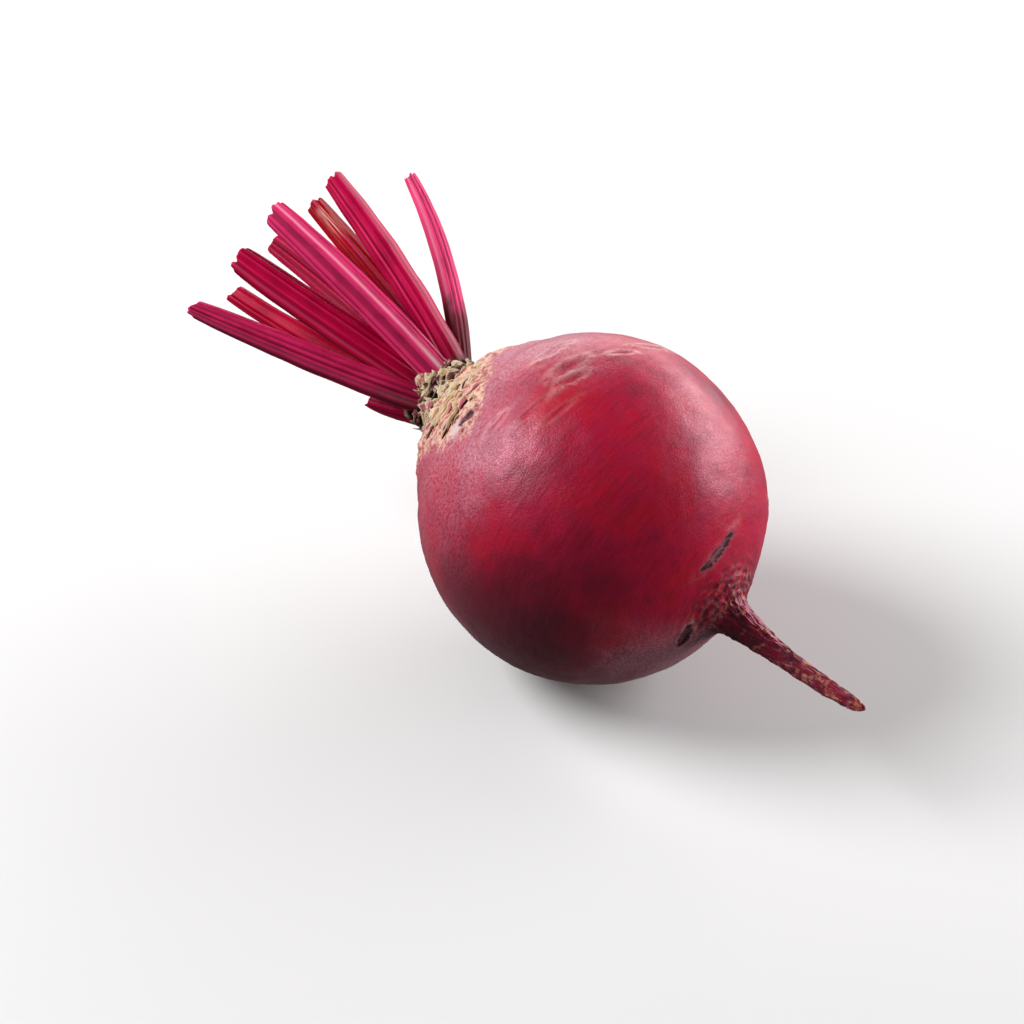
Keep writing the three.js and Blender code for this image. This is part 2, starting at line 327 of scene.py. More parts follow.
def lying(points):
    """Points of the growing frame, in millimetres, as the beetroot lies, in metres."""
    return (points @ np.array((UP, CROWNWARDS, FRONT)) + (0, 0, REST_HEIGHT)) * MM


def read_points(mesh):
    """The places of a mesh's vertices."""
    points = np.empty(len(mesh.vertices) * 3)
    mesh.vertices.foreach_get("co", points)
    return points.reshape(-1, 3)


def write_points(mesh, points):
    """Moves a mesh's vertices to those places."""
    mesh.vertices.foreach_set("co", points.astype(np.float32).ravel())
    mesh.update()


def paint(mesh, name, values):
    """Keeps a value or a vector for each vertex, for the material to read."""
    values = np.asarray(values, np.float32)
    vector = values.ndim == 2
    coat = mesh.attributes.new(name, "FLOAT_VECTOR" if vector else "FLOAT", "POINT")
    coat.data.foreach_set("vector" if vector else "value", values.ravel())


def start_piece(add_primitive, **settings):
    """Adds a primitive with nothing else selected, and returns its object."""
    bpy.ops.object.select_all(action="DESELECT")
    add_primitive(**settings)
    return bpy.context.object


def finish_piece(piece, name, material, node):
    """Names a piece, smooths it, gives it its material, and puts it in the place of its CAD node."""
    piece.name = name
    piece.data.name = name
    bpy.ops.object.select_all(action="DESELECT")
    piece.select_set(True)
    bpy.context.view_layer.objects.active = piece
    bpy.ops.object.mode_set(mode="EDIT")
    bpy.ops.mesh.select_all(action="SELECT")
    bpy.ops.mesh.normals_make_consistent(inside=False)
    bpy.ops.object.mode_set(mode="OBJECT")
    bpy.ops.object.shade_smooth()
    piece.data.materials.clear()
    piece.data.materials.append(material)
    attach(piece, "root")
    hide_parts(node)


def add_node(tree, kind, *values, stops=(), **settings):
    """Adds a node of one of the kinds in NODES, gives it its settings, sets or links its inputs, fills
    its ramp where it has one, and returns its output."""
    blender_name, inputs, output, usual = NODES[kind]
    made = tree.nodes.new(blender_name)
    for name, value in {**usual, **settings}.items():
        setattr(made, name, value)
    for key, value in zip(inputs, values):
        if isinstance(value, bpy.types.NodeSocket):
            tree.links.new(value, made.inputs[key])
        else:
            made.inputs[key].default_value = value
    if stops:
        elements = made.color_ramp.elements
        while len(elements) < len(stops):
            elements.new(0.5)
        for element, (place, value) in zip(elements, stops):
            element.position = place
            element.color = value
    return made.outputs[output]


def start_material(name, **surface):
    """A material whose shader has its plain sockets set, that shader, and what adds nodes to it."""
    material = bpy.data.materials.new(name)
    material.use_nodes = True
    shader = material.node_tree.nodes["Principled BSDF"]
    for socket, value in surface.items():
        shader.inputs[socket].default_value = value
    return material, shader, partial(add_node, material.node_tree)


def finish_material(shader, add, bumps, **worked_out):
    """Links what was worked out to the shader, and raises bumps on it. Each bump is a height and its
    depth in millimetres."""
    links = shader.id_data.links
    for socket, value in worked_out.items():
        links.new(value, shader.inputs[socket])
    below = ()
    for height, depth in bumps:
        below = (add("bump", 1.0, depth * MM, height, *below),)
    links.new(below[0], shader.inputs["Normal"])


def grain(add, vector, along, across, detail=4.0, roughness=0.6):
    """Noise with marks of that length round the root or along a stalk, and that width, in millimetres."""
    mapped = add("mapping", vector, (1 / along, 1 / across, 1 / along))
    return add("noise", mapped, 1.0, detail, roughness)


def beetroot_skin(look):
    """Fresh beetroot skin, washed and dry: deep crimson, faintly mottled and streaked round the root,
    with a waxy shine, a dusty pale film on the shoulder that is also a painted highlight on its upper
    side, a painted sheen near the taproot, painted shade on the underside and the lower front, healed
    cuts, and dark bark on the taproot."""
    material, shader, add = start_material("beetroot_skin", **{
        "IOR": 1.5, "Specular IOR Level": 0.5, "Subsurface Weight": 0.04,
        "Subsurface Radius": (1.0, 0.12, 0.3), "Subsurface Scale": 1.0 * MM,
        "Specular Tint": (1.0, 0.82, 1.0, 1.0),
        "Sheen Weight": 0.08, "Sheen Roughness": 0.45, "Sheen Tint": (1.0, 0.76, 0.88, 1.0)})
    ring = add("painted_place", attribute_name="ring")
    grown = add("painted_place", attribute_name="grown")
    under, bloom, cork, rim, scar = (
        add("painted", attribute_name=name) for name in ("under", "bloom", "cork", "rim", "scar"))
    streaks = grain(add, ring, look.streak_length / MM, look.streak_width / MM, detail=5, roughness=0.65)
    threads = grain(add, ring, 2.4, 0.4)
    clouds = grain(add, grown, 16, 16, detail=2)
    mottle = grain(add, grown, 3.5, 3.5)
    # Real pores are finer: these are as coarse as they need to be to show.
    pores = grain(add, grown, 0.42, 0.42, detail=2)
    skin = add("ramp", clouds, stops=((0.28, look.maroon), (0.46, look.crimson), (0.68, look.red)))
    skin = add("mix", add("rise", mottle, 0.50, 0.70, 0.40), skin, look.maroon)
    skin = add("mix", add("rise", mottle, 0.46, 0.34, 0.40), skin, look.red)
    skin = add("mix", add("rise", streaks, 0.48, 0.68, 0.5), skin, look.maroon)
    skin = add("mix", add("rise", threads, 0.58, 0.76, 0.10), skin, look.thread)
    skin = add("mix", add("rise", pores, 0.54, 0.74, 0.25), skin, look.maroon)
    # Painted shade: darker on the underside, in the collar's wrinkles and in a painted shadow on the lower
    # front.
    skin = add("mix", under, skin, look.under)
    creases = grain(add, ring, 0.8, 0.6, detail=3, roughness=0.7)
    # Dusty bloom and painted sheen, broken up by the creases.
    dusty_sheen = add("math", bloom, add("rise", creases, 0.60, 0.42, 1.15, 0.25), operation="MULTIPLY")
    skin = add("mix", dusty_sheen, skin, look.bloom)
    crumbs = grain(add, grown, 1.4, 1.4, roughness=0.7)
    tail = add("mix", add("rise", mottle, 0.42, 0.62, 0.55), look.tail, look.crimson)
    tail = add("mix", add("rise", streaks, 0.46, 0.62, 0.25), tail, look.crimson)
    tail = add("mix", add("rise", crumbs, 0.44, 0.34, 0.8), tail, look.scar)
    tail = add("mix", add("rise", crumbs, 0.66, 0.72, 0.7), tail, look.rim)
    # The same painted shade on the taproot.
    tail = add("mix", under, tail, look.under)
    scabs = grain(add, grown, 1.9, 1.9, detail=2)
    flakes = add("math", add("painted", attribute_name="tip"), 0.10, scabs, operation="MULTIPLY_ADD")
    tail = add("mix", add("rise", flakes, 0.58, 0.68, 0.8), tail, look.bark)
    skin = add("mix", add("painted", attribute_name="tail"), skin, tail)
    flecks = grain(add, ring, 2.2, 1.3, detail=5, roughness=0.75)
    crust = add("ramp", crumbs, stops=(
        (0.36, look.scab), (0.44, look.bark), (0.51, look.rim), (0.58, look.cork)))
    patchy = add("math", cork, 1.1, -1.6, operation="MULTIPLY_ADD")
    patchy = add("math", flecks, 3.0, patchy, operation="MULTIPLY_ADD")
    patchy = add("math", add("rise", patchy, 0.25, 0.85), add("rise", cork, 0.0, 0.7), operation="MULTIPLY")
    skin = add("mix", patchy, skin, crust)
    rims = add("math", rim, add("rise", crumbs, 0.35, 0.55), operation="MULTIPLY")
    skin = add("mix", rims, skin, look.rim)
    skin = add("mix", add("rise", rim, 0.70, 0.95), skin, look.lip)
    cuts = add("math", crumbs, 0.9, add("math", scar, 0.45, operation="SUBTRACT"), operation="MULTIPLY_ADD")
    healed = add("mix", add("rise", cuts, 0.62, 0.86), look.scab, look.scar)
    skin = add("mix", add("rise", scar, 0.1, 0.7), skin, healed)
    wax = add("rise", mottle, 0.3, 0.7, 0.47, 0.37)
    wax = add("math", bloom, -0.08, wax, operation="MULTIPLY_ADD")
    wax = add("math", wax, add("rise", pores, 0.35, 0.65, 0.06, -0.06), operation="ADD")
    matt = add("math", cork, scar, operation="MAXIMUM")
    wax = add("math", matt, 0.4, wax, operation="MULTIPLY_ADD")
    crepe = add("math", creases, add("rise", bloom, 0.0, 0.4), operation="MULTIPLY")
    bumps = (streaks, 0.04), (mottle, 0.10), (pores, 0.06), (crepe, 0.10)
    finish_material(shader, add, bumps, **{"Base Color": skin, "Roughness": wax})
    return material


def dry_leaf_base(look):
    """What is left of old leaf stalks, dried to cork and paper: cream to tan, brown in the folds, quite
    matt, with fibres that run round the neck, and near black painted shade in the gaps at the scales'
    feet and in the furrows of the core."""
    material, shader, add = start_material("dry_leaf_base", **{
        "IOR": 1.4, "Roughness": 0.8, "Specular IOR Level": 0.35, "Subsurface Weight": 0.1,
        "Subsurface Radius": (1.0, 0.5, 0.3), "Subsurface Scale": 0.8 * MM})
    ring = add("painted_place", attribute_name="ring")
    tint = add("painted", attribute_name="tint")
    fibres = grain(add, ring, 3.0, 0.3)
    stains = grain(add, ring, 2.4, 1.1, detail=5, roughness=0.7)
    paper = add("ramp", tint, stops=(
        (0.0, look.cream), (0.18, look.tan), (0.32, look.cream), (0.45, look.pink),
        (0.66, look.pink), (0.82, look.tan), (0.97, look.bark)))
    paper = add("mix", add("rise", fibres, 0.5, 0.7, 0.5), paper, look.tan)
    paper = add("mix", add("rise", stains, 0.46, 0.34, 0.85), paper, look.pink)
    paper = add("mix", add("rise", stains, 0.53, 0.63, 0.9), paper, look.bark)
    specks = grain(add, ring, 0.9, 0.5, detail=3)
    paper = add("mix", add("rise", specks, 0.44, 0.34, 0.6), paper, look.bark)
    paper = add("mix", add("rise", specks, 0.58, 0.68, 0.5), paper, look.cream)
    edge = add("painted", attribute_name="edge")
    paper = add("mix", add("rise", edge, 0.75, 1.0, 0.7), paper, look.cream)
    # Painted shade: near black where the edge value is low, at the scales' feet, on their inner faces and in
    # the core's furrows.
    paper = add("mix", add("rise", edge, 0.60, 0.2), paper, look.gap)
    bumps = (fibres, 0.3), (stains, 0.6), (specks, 0.35)
    finish_material(shader, add, bumps, **{"Base Color": paper})
    return material


def ribbed_stalk(look):
    """A fresh beet leaf stalk: juicy magenta flesh under a thin glossy skin, pale on the ribs, partly as a
    painted highlight, with a painted highlight line along one ridge, painted shade in the furrows and
    near the foot, dark mottles, fine threads along it, and dried brown in places."""
    material, shader, add = start_material("ribbed_stalk", **{
        "IOR": 1.40, "Specular IOR Level": 0.18, "Specular Tint": (1.0, 0.60, 0.80, 1.0),
        "Subsurface Weight": 0.06, "Subsurface Radius": (1.0, 0.15, 0.4), "Subsurface Scale": 0.8 * MM})
    fibre = add("painted_place", attribute_name="fibre")
    rib, light, crest, foot = (
        add("painted", attribute_name=name) for name in ("rib", "light", "crest", "foot"))
    threads = grain(add, fibre, 0.5, 14)
    blotches = grain(add, fibre, 3.0, 9, detail=3)
    flesh = add("mix", add("painted", attribute_name="scarlet"), look.magenta, look.scarlet)
    flesh = add("mix", add("painted", attribute_name="blush"), flesh, look.ridge)
    flesh = add("mix", add("rise", blotches, 0.45, 0.68, 0.35), flesh, look.dark_mottle_and_shade)
    # Painted shade in the furrows between the ribs.
    flesh = add("mix", add("rise", rib, 0.38, 0.0, 0.55), flesh, look.dark_mottle_and_shade)
    # Painted highlight: pale tops of the ribs, partly their own paler colour, strongest on well lit stalks,
    # and the painted highlight line along the crest.
    shine = add("rise", threads, 0.35, 0.6, 1.0, 0.3)
    shine = add("math", add("rise", rib, 0.70, 1.0), shine, operation="MULTIPLY")
    shine = add("math", shine, light, operation="MULTIPLY")
    shine = add("math", shine, crest, operation="MAXIMUM")
    paleness = add("math", crest, 0.5, operation="MULTIPLY")
    paleness = add("math", foot, paleness, operation="MAXIMUM")
    flesh = add("mix", shine, flesh, add("mix", paleness, look.ridge, look.pale))
    flesh = add("mix", add("rise", threads, 0.60, 0.74, 0.12), flesh, look.ridge)
    # Painted shade near the foot, deeper on stalks whose light value is low.
    shaded = add("math", 0.9, light, operation="SUBTRACT")
    shaded = add("math", foot, shaded, operation="MULTIPLY")
    flesh = add("mix", shaded, flesh, look.dark_mottle_and_shade)
    brown = add("math", blotches, 0.8, operation="MULTIPLY")
    brown = add("math", add("painted", attribute_name="brown"), brown, operation="ADD")
    flesh = add("mix", add("rise", brown, 0.75, 1.15, 0.85), flesh, look.brown)
    dried = add("painted", attribute_name="dried")
    dried = add("math", dried, add("rise", threads, 0.46, 0.54), operation="MULTIPLY")
    flesh = add("mix", dried, flesh, look.tan)
    flesh = add("mix", add("painted", attribute_name="cut"), flesh, look.cut)
    wet = add("rise", threads, 0.3, 0.7, 0.50, 0.34)
    bumps = (threads, 0.12), (blotches, 0.1)
    finish_material(shader, add, bumps, **{"Base Color": flesh, "Roughness": wet})
    return material


def bezier(start, first, second, end, count):
    """Points along a cubic curve, without its end."""
    corners = [Vector((*p, 0)) for p in (start, first, second, end)]
    return [tuple(p)[:2] for p in interpolate_bezier(*corners, count + 1)][:-1]


def root_outline():
    """The root's outline as (radius, height), from inside the neck to the taproot's tip."""
    globe = [(GLOBE_RADIUS * math.cos(t), GLOBE_RADIUS * math.sin(t))
             for t in np.linspace(GLOBE_TOP, GLOBE_BOTTOM, 80)]
    inside = [(0, 36.6), (10, 36.5), (15.0, 36.3)]
    neck = bezier((NECK_RADIUS, SHOULDER_END), (20.2, 33.8), (22.5, 30.3), globe[0], 24)
    below_collar, halfway, above_tip, end = (4.3, -40.6), (2.05, -56.4), (1.3, -72.8), (0.0, -76.4)
    collar = bezier(globe[-1], (13.0, -36.6), (5.4, -37.8), below_collar, 44)
    upper = bezier(below_collar, (3.4, -43.4), (2.5, -48.5), halfway, TAPROOT_STEPS[0])
    lower = bezier(halfway, (1.9, -63.0), (1.7, -68.0), above_tip, TAPROOT_STEPS[1])
    tip = bezier(above_tip, (1.15, -74.8), (0.9, -76.2), end, TAPROOT_STEPS[2])
    return np.array(inside + neck + globe[:-1] + collar + upper + lower + tip + [end])


def measure(outline):
    """How far along an outline each of its points is."""
    return np.concatenate(([0], np.cumsum(np.hypot(*np.diff(outline, axis=0).T))))


def follow(outline, at):
    """Radius, height and outward normal of an outline that runs down the axis, that far along it."""
    run = measure(outline)

    def place(where):
        return np.interp(where, run, outline[:, 0]), np.interp(where, run, outline[:, 1])

    radius, height = place(at)
    ahead, behind = place(at + 0.4), place(at - 0.4)
    slope_r, slope_y = ahead[0] - behind[0], ahead[1] - behind[1]
    size = np.hypot(slope_r, slope_y) + 1e-9
    return radius, height, -slope_y / size, slope_r / size


def slide_rings(ball, outline, stops):
    """Slides a ball's rings along an outline. Each stop pairs a share of the way from pole to pole with
    the outline's point that it comes to. Returns how far along and round each vertex is then, its
    place, its radius and height, and which way is out."""
    run = measure(outline)
    share = np.arccos(np.clip(ball[:, 2], -1, 1)) / math.pi
    around = np.arctan2(-ball[:, 1], ball[:, 0])
    at = np.interp(share, *np.array([(part, run[point]) for part, point in stops]).T)
    radius, height, out_r, out_y = follow(outline, at)
    return at, around, turned(radius, height, around), radius, height, turned(out_r, out_y, around)


def fringe_height(around):
    """How high on the shoulder the skin turns to cork, at each angle round the root. The cork comes
    down furthest at the front."""
    off = (around - math.radians(FRINGE_LOW_SIDE) + math.pi) % (2 * math.pi) - math.pi
    dip = FRINGE_DIP * np.exp(-(off / FRINGE_DIP_WIDTH) ** 2)
    return FRINGE_HEIGHT - FRINGE_WAVE * np.cos(3 * off) - dip


def oval(points, mark, seed):
    """How far out in an oval blemish each point of the skin is: 0 at its middle and 1 at its rim."""
    polar, around, turn = (math.radians(mark[k]) for k in ("polar", "around", "turn"))
    outward = turned(math.sin(polar), math.cos(polar), around)
    ringwise = np.array((-math.sin(around), 0, math.cos(around)))
    tailwise = np.cross(ringwise, outward)
    along = math.cos(turn) * ringwise + math.sin(turn) * tailwise
    across = math.cos(turn) * tailwise - math.sin(turn) * ringwise
    offset = points - GLOBE_RADIUS * outward
    far = np.hypot(offset @ along / (mark["length"] / 2), offset @ across / (mark["width"] / 2))
    far += np.where(offset @ outward < -GLOBE_RADIUS / 2, 9, 0)
    near = far < 3
    far[near] += RAGGED_RIM * rough(points[near], 1.6, 2, seed)
    return far


def bend_taproot(points):
    """Leans the taproot down where it leaves the globe, and curves it up again towards its tip."""
    run = np.linspace(0, TAPROOT_LENGTH + 2, 200)
    lean = TAPROOT_START * 1.05 * smoothstep(run, 0, 6) - TAPROOT_TURN * run / TAPROOT_LENGTH
    step = run[1]
    down = np.concatenate(([0], np.cumsum(np.sin(lean) * step)[:-1]))
    out = np.concatenate(([0], np.cumsum(np.cos(lean) * step)[:-1]))
    s = TAPROOT_TOP - points[:, 1]
    inside = s > 0
    angle = np.interp(s[inside], run, lean)
    x = points[inside, 0]
    points[inside, 0] = -np.interp(s[inside], run, down) + np.cos(angle) * x
    points[inside, 1] = TAPROOT_TOP - np.interp(s[inside], run, out) - np.sin(angle) * x
    return points


def taproot_share(height):
    """0 on the globe and 1 on the taproot."""
    return smoothstep(-height, 36.2, 40.5)


def root_relief(look, around, at, radius, height, smooth, belt, wander):
    """How far the skin stands off its smooth outline: swellings, rings, wrinkles and knobs."""
    broad = smoothstep(radius, 0.2 * GLOBE_RADIUS, 0.6 * GLOBE_RADIUS)
    swelling = (0.5 * np.cos(2 * around + 0.9) + 0.35 * np.cos(3 * around + 0.06 * height)
                + 0.3 * np.cos(5 * around + 0.11 * height + 2))
    relief = 0.45 * swelling * broad
    shoulder = smoothstep(height, 10, 32)
    relief += 0.25 * np.sin(1.1 * height + 2.2 * wander) * shoulder * smoothstep(height, 18, 34)
    tail = taproot_share(height)
    relief += look.lumps / MM * rough(smooth, 9, 3, 1) * (1 - tail)
    heel = smoothstep(-height, 35.2, 37.4) * (1 - smoothstep(-height, 40, 44))
    rings_round = rough(belt * (1 / 7.0, 1 / 0.9, 1 / 7.0), 1, 3, 5)
    relief += look.wrinkles / MM * rings_round * (1 + 2.5 * shoulder + 3 * heel) * (1 - tail)
    relief += 0.14 * np.sin(3.6 * at + 3.5 * wander) * heel
    relief += look.knobs / MM * tail * smoothstep(radius, 0.1, 1.5) * (
        rough(belt * (0.11, 0.4, 0.11), 1, 4, 7) + 0.4 * rough(belt * (0.16, 1.2, 0.16), 1, 3, 9))
    relief -= 0.35 * smoothstep(-height, 71.5, 75.5) * smoothstep(np.cos(2 * around + 0.6), 0.2, 0.9)
    return relief


def mark_blemishes(smooth, relief):
    """Sinks the blemishes into the relief, and returns how scarred and how pale each vertex is."""
    scar, rim = np.zeros(len(relief)), np.zeros(len(relief))
    for seed, mark in enumerate(BLEMISHES):
        far = oval(smooth, mark, seed + 20)
        relief -= mark["depth"] * (1 - smoothstep(far, 0.2, 1.0))
        relief += mark["rim"] * np.exp(-((far - 1.15) / 0.3) ** 2)
        outlined = 0.62 + 0.38 * np.exp(-((far - 0.8) / 0.22) ** 2)
        scar = np.maximum(scar, mark["dark"] * outlined * (1 - smoothstep(far, 0.8, 1.1)))
        rim = np.maximum(rim, mark["pale"] * np.exp(-((far - 1.1) / 0.45) ** 2))
        if mark["depth"] < 0:
            rim = np.maximum(rim, mark["pale"] * (1 - smoothstep(far, 0.8, 1.2)))
    return scar, rim


def make_root(look):
    """One closed skin over the globe, the neck and the taproot, from a sphere whose rings are slid
    along the root's outline and then swollen, ringed, scarred and bent."""
    root = start_piece(bpy.ops.mesh.primitive_uv_sphere_add, segments=256, ring_count=290, radius=1)
    collar_foot = -1 - sum(TAPROOT_STEPS)
    at, around, smooth, radius, height, outward = slide_rings(
        read_points(root.data), root_outline(), ((0, 0), (0.03, 3), (0.75, collar_foot), (1, -1)))
    upward = np.cos(around)
    belt = turned(GLOBE_RADIUS, at, around)
    wander = rough(belt * (0.09, 0.25, 0.09), 1, 2, 3)
    relief = root_relief(look, around, at, radius, height, smooth, belt, wander)
    scar, rim = mark_blemishes(smooth, relief)

    tail = taproot_share(height)
    collar = np.exp(-((-height - COLLAR_DEPTH) / COLLAR_SPREAD) ** 2) * (1 - tail * 0.4)
    fine_belt = belt * (0.12, 0.9, 0.12)
    rim = np.maximum(rim, 0.2 * collar * smoothstep(rough(fine_belt, 1, 3, 11), 0.0, 0.4))
    wrinkled = collar * smoothstep(rough(fine_belt, 1, 3, 12), -0.3, 0.15)
    paint(root.data, "scar", scar)
    paint(root.data, "rim", rim)
    paint(root.data, "tail", np.maximum(tail, wrinkled))
    paint(root.data, "tip", smoothstep(-height, 44, 66))

    grown = smooth + relief[:, None] * outward
    off_cleft = grown[:, 0] * math.cos(CLEFT_ANGLE) + grown[:, 2] * math.sin(CLEFT_ANGLE)
    grown[:, 1] += CLEFT_DEPTH * np.exp(-(off_cleft / CLEFT_WIDTH) ** 2) * smoothstep(-height, 73.0, 76.2)
    paint(root.data, "grown", grown)
    paint(root.data, "ring", belt)

    # Painted shade: darker towards the underside, and in the collar's wrinkles.
    under = 0.6 * smoothstep(radius * upward / GLOBE_RADIUS - 0.15 * wander, 0.15, -0.55)
    # A painted shadow darkens the lower front round that centre.
    off_painted_shadow = np.linalg.norm(smooth - PAINTED_SHADOW_CENTRE, axis=1) + 8 * rough(smooth, 14, 3, 17)
    painted_shadow = 0.8 * (1 - smoothstep(off_painted_shadow, 6, 30))
    paint(root.data, "under", np.maximum(np.maximum(under, wrinkled), painted_shadow))
    # Paler skin on the shoulder: partly a real dusty bloom, partly a painted highlight, stronger on the upper
    # side where the key light falls.
    shoulder_bloom_and_highlight = smoothstep(height + 9 * rough(smooth, 14, 2, 14), 0, 27)
    shoulder_bloom_and_highlight *= 0.45 + 0.55 * smoothstep(upward, -0.3, 0.7)
    # A painted sheen on the lower side near the taproot.
    heel_painted_sheen = smoothstep(-height + 4 * rough(smooth, 8, 3, 18), 22, 33)
    heel_painted_sheen *= smoothstep(np.cos(around - math.radians(140)), 0.3, 1.0)
    paint(root.data, "bloom", 0.8 * np.maximum(shoulder_bloom_and_highlight, heel_painted_sheen))

    ragged = height - fringe_height(around) + 3.5 * rough(smooth, 6, 4, 13)
    cork = smoothstep(ragged, -5, 4)
    paint(root.data, "cork", cork)
    grown += (0.35 * cork * (0.5 + rough(belt * (0.3, 0.9, 0.3), 1, 3, 16)))[:, None] * outward
    placed = lying(bend_taproot(grown))
    # Nothing goes below the small flat spot that it rests on.
    placed[:, 2] = np.maximum(placed[:, 2], 0.0)
    write_points(root.data, placed)
    finish_piece(root, "beetroot_root", beetroot_skin(look), "root")


def core_radius(height):
    """The crown's radius at a height, without its scales."""
    return CROWN_RADIUS + (NECK_RADIUS - CROWN_RADIUS) * np.exp(-(height - SHOULDER_END) / CROWN_FLARE)


def make_crown_core():
    """The neck that the scales grow on, from a sphere slid along its outline, in broken ridges."""
    core = start_piece(bpy.ops.mesh.primitive_uv_sphere_add, segments=200, ring_count=100, radius=1)
    top = [(0, CROWN_TOP - 0.9), (5, CROWN_TOP - 0.6), (7.8, CROWN_TOP - 0.4)]
    side = [(core_radius(h) - 0.1, h) for h in np.linspace(CROWN_TOP - 1.2, SHOULDER_END + 0.1, 24)]
    foot = [(14.5, SHOULDER_END - 0.5), (9, SHOULDER_END - 0.6), (0, SHOULDER_END - 0.6)]
    at, around, smooth, radius, _, outward = slide_rings(
        read_points(core.data), np.array(top + side + foot), ((0, 0), (0.12, 2), (0.9, -4), (1, -1)))
    strip = turned(2.2, at / 1.5, around)
    ridges = 1 - 2.6 * np.abs(rough(strip, 1, 3, 33))
    relief = (0.7 * ridges + 0.5 * rough(smooth, 1.2, 3, 31) - 0.4) * smoothstep(radius, 0.5, 3)
    write_points(core.data, smooth + relief[:, None] * outward)
    # Low in the furrows between the ridges, so that the gap colour paints shade there.
    paint(core.data, "edge", 0.40 * smoothstep(relief, -0.45, 0.35))
    paint(core.data, "tint", 0.5 + 0.9 * rough(strip, 2.0, 3, 35))
    return core


def scale_master():
    """A flat flap one wide, one high and one thick, which every scale is copied from."""
    flap = start_piece(bpy.ops.mesh.primitive_grid_add, x_subdivisions=8, y_subdivisions=3, size=1)
    solidify = flap.modifiers.new("thickness", "SOLIDIFY")
    solidify.thickness = 1
    solidify.offset = 0
    bpy.ops.object.modifier_apply(modifier=solidify.name)
    return flap


def scale_points(flat, draw, foot, around, look, outline, size, rim):
    """The master flap's points as one scale: a ragged strip along the ring, whose foot is sunk in what
    carries it and whose upper edge lifts off."""
    width = look.scale_width / MM * draw.uniform(0.5, 1.5) * size
    tall = look.scale_height / MM * draw.uniform(0.7, 1.4) * (size + rim)
    thick = look.scale_thickness / MM * draw.uniform(0.7, 1.3) * (0.5 + 0.5 * size)
    lift = draw.uniform(0.1, 1.0) * size
    across, up, deep = flat[:, 0], flat[:, 1] + 0.5, flat[:, 2]
    place = Vector((foot * 3.7, around * 9, 0))
    ragged = np.array([noise.noise(place + Vector((0, 0, a * 5))) for a in across])
    wander = np.array([noise.noise(place + Vector((7, 0, a * 1.8))) for a in across])
    top = (1 - 0.85 * np.abs(2 * across) ** 3) * (1 + 0.9 * ragged)
    climb = foot + tall * up * top + (0.25 * wander + draw.uniform(-0.12, 0.12) * across) * width
    ends = np.abs(2 * across) ** 4
    off = thick * (deep * (1 - 0.5 * up) + 0.5) * (1 - 0.7 * ends) - 0.3 - 0.2 * ends
    off += lift * up ** 1.5 * (1 + ragged) * (1 - 0.8 * ends)
    radius, height, out_r, out_y = follow(outline, measure(outline)[-1] - climb)
    angle = around + across * width / radius
    points = turned(radius + off * out_r, height + off * out_y, angle)
    # The edge value: high at the free edge and a little higher on the outer face, low at the foot, where it
    # brings the painted shade.
    return points, np.clip(0.05 + 0.75 * up + 0.25 * (deep > 0), 0, 1)


def make_crown(look):
    """The crown: its core, and rows of dry scales round it, which get small and few on the shoulder."""
    core = make_crown_core()
    master = scale_master()
    flat = read_points(master.data)
    draw = np.random.default_rng(7)
    neck = [(core_radius(h), h) for h in np.arange(CROWN_TOP, SHOULDER_END, -0.3)]
    outline = np.array(neck + [tuple(p) for p in root_outline()[3:] if p[1] > FRINGE_FOOT])
    far = measure(outline)[-1]
    pieces = [core]
    for foot in np.arange(0, far - 1.2, look.row_spacing / MM):
        radius, height = follow(outline, far - foot)[:2]
        count = int(round(2 * math.pi * radius / (SCALE_PITCH * look.scale_width / MM)))
        rim = 0.7 * smoothstep(foot, far - 4.5, far - 1.5)
        for k in range(count):
            around = 2 * math.pi * (k + draw.uniform(0, 1)) / count
            size = smoothstep(height - fringe_height(around) + draw.uniform(-2, 2), 1, 8)
            missing = MISSING_SCALES + 0.35 * math.exp(-((foot - far + 4) / 2.5) ** 2)
            if size < 0.1 or draw.uniform(0, 1) < missing:
                continue
            if oval(turned(radius, height, around)[None], LEAF_SCAR, 0)[0] < SCAR_CLEARANCE:
                continue
            at = foot + draw.uniform(-0.5, 0.5)
            points, edge = scale_points(flat, draw, at, around, look, outline, 0.3 + 0.7 * size, rim)
            mesh = master.data.copy()
            write_points(mesh, points)
            paint(mesh, "edge", np.maximum(edge, 0.6 * (1 - size)))
            paint(mesh, "tint", np.full(len(points), draw.uniform(0, 1)))
            scale = bpy.data.objects.new("scale", mesh)
            bpy.context.collection.objects.link(scale)
            pieces.append(scale)
    bpy.data.objects.remove(master)
    bpy.ops.object.select_all(action="DESELECT")
    for piece in pieces:
        piece.select_set(True)
    bpy.context.view_layer.objects.active = core
    bpy.ops.object.join()
    points = read_points(core.data)
    around = np.arctan2(points[:, 2], points[:, 0])
    paint(core.data, "ring", turned(CROWN_RADIUS, points[:, 1], around))
    write_points(core.data, lying(points))
    finish_piece(core, "beetroot_crown", dry_leaf_base(look), "crown")


